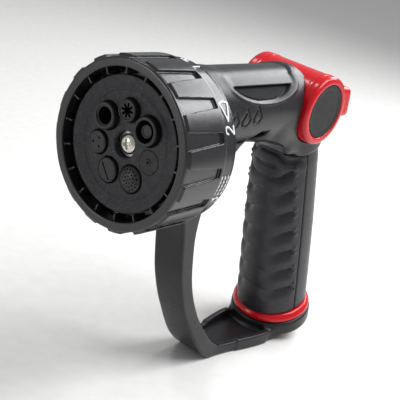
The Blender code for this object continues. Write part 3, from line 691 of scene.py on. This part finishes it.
def thumb_lever(x, y, z):
    ax = np.abs(x)
    out = from_lever_axis(y, z)
    inner = DRUM_RADIUS + LEVER_GAP
    cheek = meet(out - LEVER_RADIUS, ax - CHEEK_OUTER_X, 2.4)
    cheek = meet(cheek, inner - ax, 0.6)
    cheek = cut(cheek, meet(out - CAP_RADIUS - 0.3, CAP_SEAT_X - ax), 0.5)
    saddle = meet(meet(out - LEVER_RADIUS + 0.15, inner - out), ax - 18.0)
    saddle = meet(saddle, meet(LEVER_Z - 5.5 - z, SADDLE_FRONT - y), 0.5)
    paddle = meet(outline(y, z, PADDLE), ax - PADDLE_HALF_WIDTH - 0.06 * (y - 19.0), 3.0)
    made = union(union(saddle, cheek, 1.0), paddle, 3.5)
    made = cut(made, meet(out - inner, ax - inner))
    return cut(made, out - SPINDLE_HOLE_RADIUS)


def pivot_cap(side):
    def solid(x, y, z):
        out = from_lever_axis(y, z)
        dished = CHEEK_OUTER_X - 0.25 - 0.35 * ramp(out, CAP_RADIUS - 0.5, CAP_RADIUS - 2.9)
        return meet(out - CAP_RADIUS, meet(side * x - dished, CAP_SEAT_X + 0.3 - side * x), 0.5)
    return solid


# ---- head ------------------------------------------------------------------------------------
def around_head(x, z):
    """Radius from the turret's axis, and the angle clockwise from the top seen from the front."""
    return np.hypot(x, z), np.arctan2(x, z)


POCKET_BACK = 24.6                  # depths are measured back from the head's front edge
POCKET_HALF_FRONT, POCKET_HALF_BACK = 4.1, 2.3      # half the pocket's width at its two ends
FIN_MIDDLE, FIN_HALF = 5.6, 4.0     # in depth
FIN_OUTER = 34.8                    # radius at which the fins end inside the ring
FACE_RADIUS = 31.0
FACE_FRONT, FACE_BACK = 4.6, 8.0
OUTLET_BACK = 14.2
OUTLET_CIRCLE = 15.7
OUTLET_RADIUS = (5.1, 6.6, 5.4, 6.2, 5.8, 5.3, 6.2)
FLUSH_OUTLET = 2                    # this outlet is level with the face
SHORT_OF_CLICK = math.radians(3.3)  # the face sits a little before its click


def head_box(radius, front, back, centre=(0.0, 0.0)):
    """Corners of a box round the turret's axis, or round a line beside it."""
    return ((centre[0] - radius, HEAD_FRONT + front, centre[1] - radius),
            (centre[0] + radius, HEAD_FRONT + back, centre[1] + radius))


def turret_ring(x, y, z):
    depth = y - HEAD_FRONT
    radius, angle = around_head(x, z)
    pad_step = POCKET_RADIUS + (HEAD_RADIUS - POCKET_RADIUS) * ramp(depth, 1.0, 1.7)
    made = radius - pad_step
    across = np.abs(wrapped(angle, 2.0 * math.pi / PADS)) * HEAD_RADIUS
    half = POCKET_HALF_FRONT - (POCKET_HALF_FRONT - POCKET_HALF_BACK) * depth / POCKET_BACK
    pocket = meet(meet((across - half) * 0.98, depth - POCKET_BACK, 0.5), POCKET_RADIUS - radius)
    made = cut(made, pocket, 0.35)
    made = meet(made, meet(-depth, depth - RING_BACK), 0.9)
    bore = np.where(depth < FIN_MIDDLE + FIN_HALF, FIN_OUTER - 0.3, 33.0)
    made = meet(made, bore - radius, 0.6)
    spoke = np.abs(wrapped(angle - math.pi / FINS, 2.0 * math.pi / FINS)) * radius - 0.5
    fin = meet(meet(spoke, FACE_RADIUS + 0.3 - radius, 0.4),
               meet(radius - FIN_OUTER, np.abs(depth - FIN_MIDDLE) - FIN_HALF), 0.4)
    return union(made, fin, 0.5)


def label_collar(x, y, z):
    depth = y - HEAD_FRONT
    radius = np.hypot(x, z)
    middle = (LABEL_FRONT + LABEL_BACK) / 2.0
    half = (LABEL_BACK - LABEL_FRONT) / 2.0
    band = 0.2 * ramp(np.abs(depth - middle), half - 1.0, half - 0.8)
    made = meet(radius - COLLAR_RADIUS + 0.2 - band, np.abs(depth - middle) - half, 0.6)
    return meet(made, 33.0 + 3.0 * ramp(depth, 30.9, 31.1) - radius)


def spot(index):
    """Centre of an outlet, clockwise from the top."""
    angle = 2.0 * math.pi * index / PATTERNS - SHORT_OF_CLICK
    return OUTLET_CIRCLE * math.sin(angle), OUTLET_CIRCLE * math.cos(angle)


def face_plate(x, y, z):
    depth = y - HEAD_FRONT
    radius = np.hypot(x, z)
    front = FACE_FRONT - 1.2 * ramp(radius, 24.0, FACE_RADIUS)
    front = front + 0.25 * bump(radius, 24.6, 0.5)
    made = meet(meet(front - depth, depth - FACE_BACK), radius - FACE_RADIUS, 0.5)
    for index, size in enumerate(OUTLET_RADIUS):
        at_x, at_z = spot(index)
        away = np.hypot(x - at_x, z - at_z)
        loose = 0.05 if index == FLUSH_OUTLET else 0.3
        made = cut(made, away - size - loose, 2.0 * loose)
    return cut(made, radius - 6.2, 0.7)


def at_spot(index, shape):
    """A solid given by distance from an outlet's axis, local x and z, and depth."""
    at_x, at_z = spot(index)

    def solid(x, y, z):
        u, v = x - at_x, z - at_z
        return shape(np.hypot(u, v), u, v, y - HEAD_FRONT)
    return solid


def plug(radius, away, depth, front, soften=0.7):
    """The plain round body of an outlet."""
    return meet(away - radius, meet(front - depth, depth - OUTLET_BACK), soften)


def star_shape(away, u, v, depth):
    made = plug(5.1, away, depth, 1.9)
    made = cut(made, meet(away - 4.1, depth - 2.4), 0.3)
    for i in range(4):
        turn = math.pi * i / 4.0
        along = u * math.cos(turn) + v * math.sin(turn)
        beside = u * math.sin(turn) - v * math.cos(turn)
        made = cut(made, meet(np.abs(along) - 3.4, np.abs(beside) - 0.52, 0.2))
    return cut(made, away - 1.5)


def cone_shape(away, u, v, depth):
    made = plug(6.6, away, depth, 1.6, 0.9)
    made = cut(made, meet(away - 5.0, depth - 9.0), 0.4)
    post = meet(away - 3.1, meet(2.9 - depth, depth - 10.0), 0.5)
    post = cut(post, meet(away - 2.2, depth - 3.3), 0.2)
    return union(made, post)


def pinhole_shape(away, u, v, depth):
    made = plug(5.4, away, depth, 4.45, 0.3)
    made = union(made, meet(away - 1.5, meet(4.0 - depth, depth - 6.0), 0.4), 0.4)
    line = meet(np.abs(u + 0.35 * v - 3.0) - 0.25, meet(-6.2 - v, v + 2.6))
    return cut(cut(made, away - 0.55), meet(line, depth - 4.9))


def dome_shape(away, u, v, depth):
    front = 5.0 - 2.6 * np.sqrt(np.clip(1.0 - (away / 6.5) ** 2, 0.0, 1.0))
    made = meet(away - 6.2, meet((front - depth) * 0.8, depth - OUTLET_BACK), 0.3)
    for row, holes in ((0.0, 1), (1.7, 6), (3.3, 12), (4.8, 16)):
        for k in range(holes):
            turn = 2.0 * math.pi * k / holes
            made = cut(made, np.hypot(u - row * math.sin(turn), v - row * math.cos(turn)) - 0.3
                       + 0.3 * ramp(depth, 4.6, 5.6))
    return made


def flat_shape(away, u, v, depth):
    lean = math.radians(-50.0)
    along = u * math.cos(lean) + v * math.sin(lean)
    beside = -u * math.sin(lean) + v * math.cos(lean)
    raised = plug(5.8, away, depth, 3.0, 1.0)
    low = plug(5.8, away, depth, 4.2, 0.5)
    made = union(meet(raised, -beside - 0.4, 0.4), low)
    return cut(made, meet(meet(np.abs(beside + 1.2) - 0.75, np.abs(along) - 4.4, 0.4), depth - 9.0))


def mist_shape(away, u, v, depth):
    made = plug(5.3, away, depth, 3.2, 0.9)
    made = cut(made, meet(away - 3.9, depth - 3.4), 0.3)
    for k in range(3):
        turn = 2.0 * math.pi * k / 3.0 + 0.3
        made = cut(made, np.hypot(u - 2.4 * math.sin(turn), v - 2.4 * math.cos(turn)) - 0.5)
    return made


def jet_shape(away, u, v, depth):
    made = plug(6.2, away, depth, 1.6, 0.9)
    return cut(cut(made, away - 3.95, 0.5), meet(away - 4.6, depth - 2.3), 0.3)


def screw_head(x, y, z):
    depth = y - HEAD_FRONT
    away = np.hypot(x, z)
    front = 7.6 - 2.1 * np.sqrt(np.clip(1.0 - (away / 4.9) ** 2, 0.0, 1.0))
    made = meet(away - 4.8, meet((front - depth) * 0.85, depth - 7.6), 0.4)
    made = union(made, meet(away - 2.1, meet(7.0 - depth, depth - 28.0)))
    for turn in (math.radians(20.0), math.radians(110.0)):
        along = x * math.cos(turn) + z * math.sin(turn)
        beside = x * math.sin(turn) - z * math.cos(turn)
        taper = 0.25 * (depth - 5.6)
        arm = meet(np.abs(along) - 2.4 + taper, np.abs(beside) - 0.55)
        made = cut(made, meet(arm, depth - 7.3), 0.2)
    return made


# ---- white marks on the pattern collar: a number and a picture of the spray -------------------
NUMERALS = {
    1: [[(0.4, 3.9), (1.7, 5.0), (1.7, 0.0)]],
    2: [[(0.1, 3.7), (0.5, 4.6), (1.5, 5.0), (2.6, 4.6), (2.9, 3.7), (2.5, 2.7), (0.0, 0.0), (3.0, 0.0)]],
    3: [[(0.2, 4.5), (1.4, 5.0), (2.5, 4.6), (2.7, 3.7), (2.2, 2.9), (1.2, 2.7)],
        [(2.2, 2.6), (3.0, 1.6), (2.6, 0.5), (1.4, 0.0), (0.1, 0.5)]],
    4: [[(2.2, 0.0), (2.2, 5.0), (0.0, 1.5), (3.2, 1.5)]],
    5: [[(2.8, 5.0), (0.6, 5.0), (0.3, 2.7), (1.5, 3.1), (2.7, 2.6), (3.0, 1.5), (2.5, 0.4), (1.3, 0.0),
         (0.1, 0.5)]],
    6: [[(2.6, 4.8), (1.3, 4.5), (0.4, 3.2), (0.1, 1.6), (0.6, 0.4), (1.6, 0.0), (2.7, 0.5), (3.0, 1.5),
         (2.5, 2.6), (1.5, 2.9), (0.4, 2.3)]],
    7: [[(0.0, 5.0), (3.0, 5.0), (1.1, 0.0)]],
}
SPRAYS = (
    [[(4.0 + 2.4 * math.cos(a), 2.5 + 2.4 * math.sin(a)), (4.0 + 0.9 * math.cos(a), 2.5 + 0.9 * math.sin(a))]
     for a in (i * math.pi / 4.0 for i in range(8))],
    [[(7.6, 5.0), (0.4, 2.5), (7.6, 0.0)], [(7.6, 5.0), (8.3, 2.5), (7.6, 0.0)]],
    [[(0.3 + 1.8 * i, 2.5 + v), (1.0 + 1.8 * i, 2.5 + v)] for v in (-2.0, 0.0, 2.0) for i in range(5)],
    [[(0.6, 2.5 + 0.4 * i), (3.6, 2.5 + 0.9 * i)] for i in (-1, 0, 1)]
    + [[(5.2, 2.5 + 1.25 * i), (8.4, 2.5 + 2.0 * i)] for i in (-1, 0, 1)],
    [[(0.4, 2.5), (8.0, 5.0), (8.0, 0.0), (0.4, 2.5)], [(4.0, 2.5), (8.0, 2.5)]],
    [[(1.0 + 2.0 * i, 2.5 + v), (1.3 + 2.0 * i, 2.5 + v)] for i in range(4)
     for v in ((-1.9, 0.0, 1.9) if i % 2 else (-1.0, 1.0))],
    [[(0.4, 2.5), (8.4, 2.5)], [(6.6, 4.1), (8.6, 2.5), (6.6, 0.9)]],
)


def line_distance(u, v, lines):
    best = 1e9
    for line in lines:
        for (u0, v0), (u1, v1) in zip(line, line[1:]):
            du, dv = u1 - u0, v1 - v0
            t = np.clip(((u - u0) * du + (v - v0) * dv) / (du * du + dv * dv), 0.0, 1.0)
            best = np.minimum(best, np.hypot(u - u0 - t * du, v - v0 - t * dv))
    return best


MARK_SIZE = 1.17                    # marks are drawn 5 high, then scaled by this
MARK_HALF_LENGTH = 6.5
STROKE_HALF_WIDTH = 0.46
FIRST_MARK = math.radians(3.0)
MARK_HALF_ANGLE = math.radians(13.5)


def mark(index):
    """White strokes on the collar, read from below upwards, their tops towards the front."""
    lines = NUMERALS[index + 1] + [[(4.6 + u, v) for u, v in line] for line in SPRAYS[index]]
    middle = 2.0 * math.pi * index / PATTERNS + FIRST_MARK

    def solid(x, y, z):
        radius, angle = around_head(x, z)
        along = MARK_HALF_LENGTH - wrapped(angle - middle, 2.0 * math.pi) * COLLAR_RADIUS / MARK_SIZE
        tall = 2.5 + ((LABEL_FRONT + LABEL_BACK) / 2.0 + HEAD_FRONT - y) / MARK_SIZE
        stroke = MARK_SIZE * line_distance(along, tall, lines) - STROKE_HALF_WIDTH
        return meet(stroke, np.abs(radius - COLLAR_RADIUS + 0.05) - 0.25)
    reach = 1.15 * COLLAR_RADIUS * math.sin(MARK_HALF_ANGLE)
    at_x, at_z = COLLAR_RADIUS * math.sin(middle), COLLAR_RADIUS * math.cos(middle)
    low, high = head_box(reach, LABEL_FRONT, LABEL_BACK, (at_x, at_z))
    return skin(f"spray_mark_{index + 1}", solid, low, high, 0.22, WHITE_INK)


# ---- the red ring at the handle's foot --------------------------------------------------------
RED_RING_HALF = 2.35                # half its height
RED_RING_BORE = 16.8


def accent_ring(x, y, z):
    down, forward = handle_way(y, z)
    around = np.hypot(x, forward)
    outer = 21.7 + 1.6 * ramp(down, GRIP_END, GRIP_END + 3.5)
    middle = (GRIP_END + ACCENT_END + GRIP_GAP) / 2.0
    made = meet(around - outer, np.abs(down - middle) - RED_RING_HALF, 1.2)
    return meet(made, RED_RING_BORE - around)


# ---- build -----------------------------------------------------------------------------------
def build_root():
    shell = skin("housing_shell", housing, (-35.6, -105.8, -35.6), (35.6, 22.0, 35.8), 0.6,
                 HOUSING_GREY)
    belongs(shell, "root", "grey_plastic", "body_housing")
    liner = skin("pocket_liner", pocket_liner, (-19.5, -84.0, 21.0), (19.5, -27.0, 29.4), 0.4,
                 POCKET_MATT)
    belongs(liner, "root", "grey_plastic")
    strap = skin("guard_and_collar", guard, (-24.0, -101.6, GROUND), (24.0, 63.5, 8.0), 0.6,
                 HOUSING_GREY)
    belongs(strap, "root", "grey_plastic", "hand_guard")
    grip_low, grip_high = (-19.0, -22.0, -118.0), (19.0, 54.0, 12.0)
    sleeve = skin("ribbed_sleeve", grip_sleeve, grip_low, grip_high, 0.5, GRIP_RUBBER)
    belongs(sleeve, "root", "grip_rubber", "grip_sleeve")
    spine = skin("smooth_spine", grip_spine, grip_low, grip_high, 0.6, SPINE_GREY)
    belongs(spine, "root", "black_plastic", "grip_spine")
    pad = skin("ribbed_back_pad", back_pad, (-7.0, 15.0, -112.0), (7.0, 54.0, -8.0), 0.5, GRIP_RUBBER)
    belongs(pad, "root", "grip_rubber", "back_pad")
    accent = skin("red_accent_ring", accent_ring, (-24.0, 10.0, -126.0), (24.0, 61.0, -102.0), 0.5,
                  RED_GLOSS)
    belongs(accent, "root", "red_plastic", "accent_ring")
    screw = skin("screw_with_cross", screw_head, *head_box(5.0, 5.0, 28.2), 0.22, NICKEL)
    belongs(screw, "root", "nickel", "centre_screw")


def build_turret():
    ring = skin("ridged_ring", turret_ring, *head_box(HEAD_RADIUS, 0.0, RING_BACK), 0.42, HEAD_BLACK)
    belongs(ring, "turret", "black_plastic", "turret_ring")
    collar = skin("pattern_collar", label_collar, *head_box(COLLAR_RADIUS, LABEL_FRONT, LABEL_BACK),
                  0.42, HEAD_BLACK)
    belongs(collar, "turret", "black_plastic", "label_collar")
    plate = skin("perforated_face", face_plate, *head_box(31.0, 3.0, 8.0), 0.3, FACE_CHARCOAL)
    belongs(plate, "turret", "face_plastic", "face_plate")
    for index in range(PATTERNS):
        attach(mark(index), "turret")
    outlets = (
        ("star_outlet", star_shape, "black_plastic", "star_nozzle", OUTLET_BLACK),
        ("cone_outlet", cone_shape, "black_plastic", "cone_nozzle", OUTLET_BLACK),
        ("pinhole_outlet", pinhole_shape, "face_plastic", "pinhole_nozzle", FACE_CHARCOAL),
        ("domed_rose", dome_shape, "face_plastic", "dome_rose", OUTLET_BLACK),
        ("slotted_outlet", flat_shape, "black_plastic", "flat_nozzle", OUTLET_BLACK),
        ("three_hole_outlet", mist_shape, "face_plastic", "mist_nozzle", OUTLET_BLACK),
        ("jet_outlet", jet_shape, "black_plastic", "jet_nozzle", OUTLET_BLACK),
    )
    for index, (name, shape, slot, node, look) in enumerate(outlets):
        low, high = head_box(OUTLET_RADIUS[index], 1.4, 14.3, spot(index))
        made = skin(name, at_spot(index, shape), low, high, 0.26, look)
        belongs(made, "turret", slot, node)


def build_lever():
    yoke = skin("red_thumb_lever", thumb_lever, (-23.6, -25.0, -4.0), (23.6, 32.0, 36.0), 0.5,
                RED_GLOSS)
    belongs(yoke, "lever", "red_plastic", "thumb_lever")
    for side, name in ((-1, "right"), (1, "left")):
        low, high = sorted((side * CAP_SEAT_X, side * CHEEK_OUTER_X))
        disc = skin(f"cap_disc_{name}", pivot_cap(side), (low, LEVER_Y - 14.5, LEVER_Z - 14.5),
                    (high, LEVER_Y + 14.5, LEVER_Z + 14.5), 0.3, CAP_GREY)
        belongs(disc, "lever", "cap_plastic", f"pivot_cap_{name}")


def dress_inner_nodes():
    """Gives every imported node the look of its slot, so the inner pieces that show are finished too."""
    looks = {"inner_plastic": ACETAL, "seal_rubber": SEAL_BLACK, "brass": BRASS, "steel": STEEL,
             "nickel": NICKEL, "black_plastic": HEAD_BLACK, "grey_plastic": HOUSING_GREY,
             "face_plastic": FACE_CHARCOAL, "grip_rubber": GRIP_RUBBER, "red_plastic": RED_GLOSS,
             "cap_plastic": CAP_GREY}
    slots = {part["node"]: part["material_slot"] for part in frame["record"]["subparts"]}
    for name, node in frame["nodes"].items():
        for place in node.material_slots:
            place.material = looks[slots[name]]


# ---- stage -----------------------------------------------------------------------------------
VIEW_AZIMUTH = math.radians(34.3)
VIEW_ELEVATION = math.radians(19.5)
VIEW_ROLL = math.radians(14.5)
VIEW_DISTANCE = 0.4995
VIEW_TARGET = Vector((0.0, -0.0273, 0.0971))
VIEW_LENS = 88.4
LIGHT_AIM = Vector((0.0, -0.02, 0.10))
DAYLIGHT = (0.97, 0.98, 1.0)
FLOOR_REACH = 3.0
FLOOR_DROP = 0.0002                 # keeps the floor just clear of the foot


def camera():
    back = Vector((math.sin(VIEW_AZIMUTH) * math.cos(VIEW_ELEVATION),
                   -math.cos(VIEW_AZIMUTH) * math.cos(VIEW_ELEVATION), math.sin(VIEW_ELEVATION)))
    made = bpy.data.objects.new("camera", bpy.data.cameras.new("camera"))
    bpy.context.scene.collection.objects.link(made)
    made.data.lens = VIEW_LENS
    made.location = VIEW_TARGET + back * VIEW_DISTANCE
    turn = (-back).to_track_quat("-Z", "Y").to_matrix().to_4x4()
    made.matrix_world = Matrix.Translation(made.location) @ turn @ Matrix.Rotation(VIEW_ROLL, 4, "Z")
    bpy.context.scene.camera = made


def soft_light(name, place, size, power, color=(1.0, 1.0, 1.0)):
    made = bpy.data.objects.new(name, bpy.data.lights.new(name, "AREA"))
    bpy.context.scene.collection.objects.link(made)
    made.data.shape = "RECTANGLE"
    made.data.size, made.data.size_y = size
    made.data.energy = power
    made.data.color = color
    made.location = Vector(place)
    aim = LIGHT_AIM - made.location
    made.rotation_euler = aim.to_track_quat("-Z", "Y").to_euler()


def studio():
    world = bpy.data.worlds.new("studio")
    bpy.context.scene.world = world
    world.use_nodes = True
    world.node_tree.nodes["Background"].inputs["Color"].default_value = (0.93, 0.94, 0.96, 1.0)
    world.node_tree.nodes["Background"].inputs["Strength"].default_value = 0.4
    soft_light("key_above", (0.35, 0.25, 0.85), (0.7, 0.5), 8.0, DAYLIGHT)
    soft_light("window_behind", (0.05, 0.84, 0.66), (0.80, 0.36), 6.5, DAYLIGHT)
    soft_light("lamp_above_left", (-0.50, -0.02, 0.92), (0.12, 0.25), 1.2)
    soft_light("low_front_left", (-0.50, -0.90, 0.14), (0.22, 0.22), 0.8)
    bpy.context.scene.view_settings.view_transform = "Standard"


def pale_floor():
    mesh = bpy.data.meshes.new("floor")
    corners = [(FLOOR_REACH * i, FLOOR_REACH * j, 0.0) for i, j in ((-1, -1), (1, -1), (1, 1), (-1, 1))]
    mesh.from_pydata(corners, [], [(0, 1, 2, 3)])
    floor = bpy.data.objects.new("floor", mesh)
    floor.location = (0.0, 0.0, -FLOOR_DROP)
    bpy.context.scene.collection.objects.link(floor)
    mesh.materials.append(plain("pale_floor", (0.80, 0.79, 0.77), (0.76, 0.75, 0.73), (0.6, 0.8),
                                grain_mm=4.0, grain=0.1))


dress_inner_nodes()
build_root()
build_turret()
build_lever()
camera()
studio()
pale_floor()
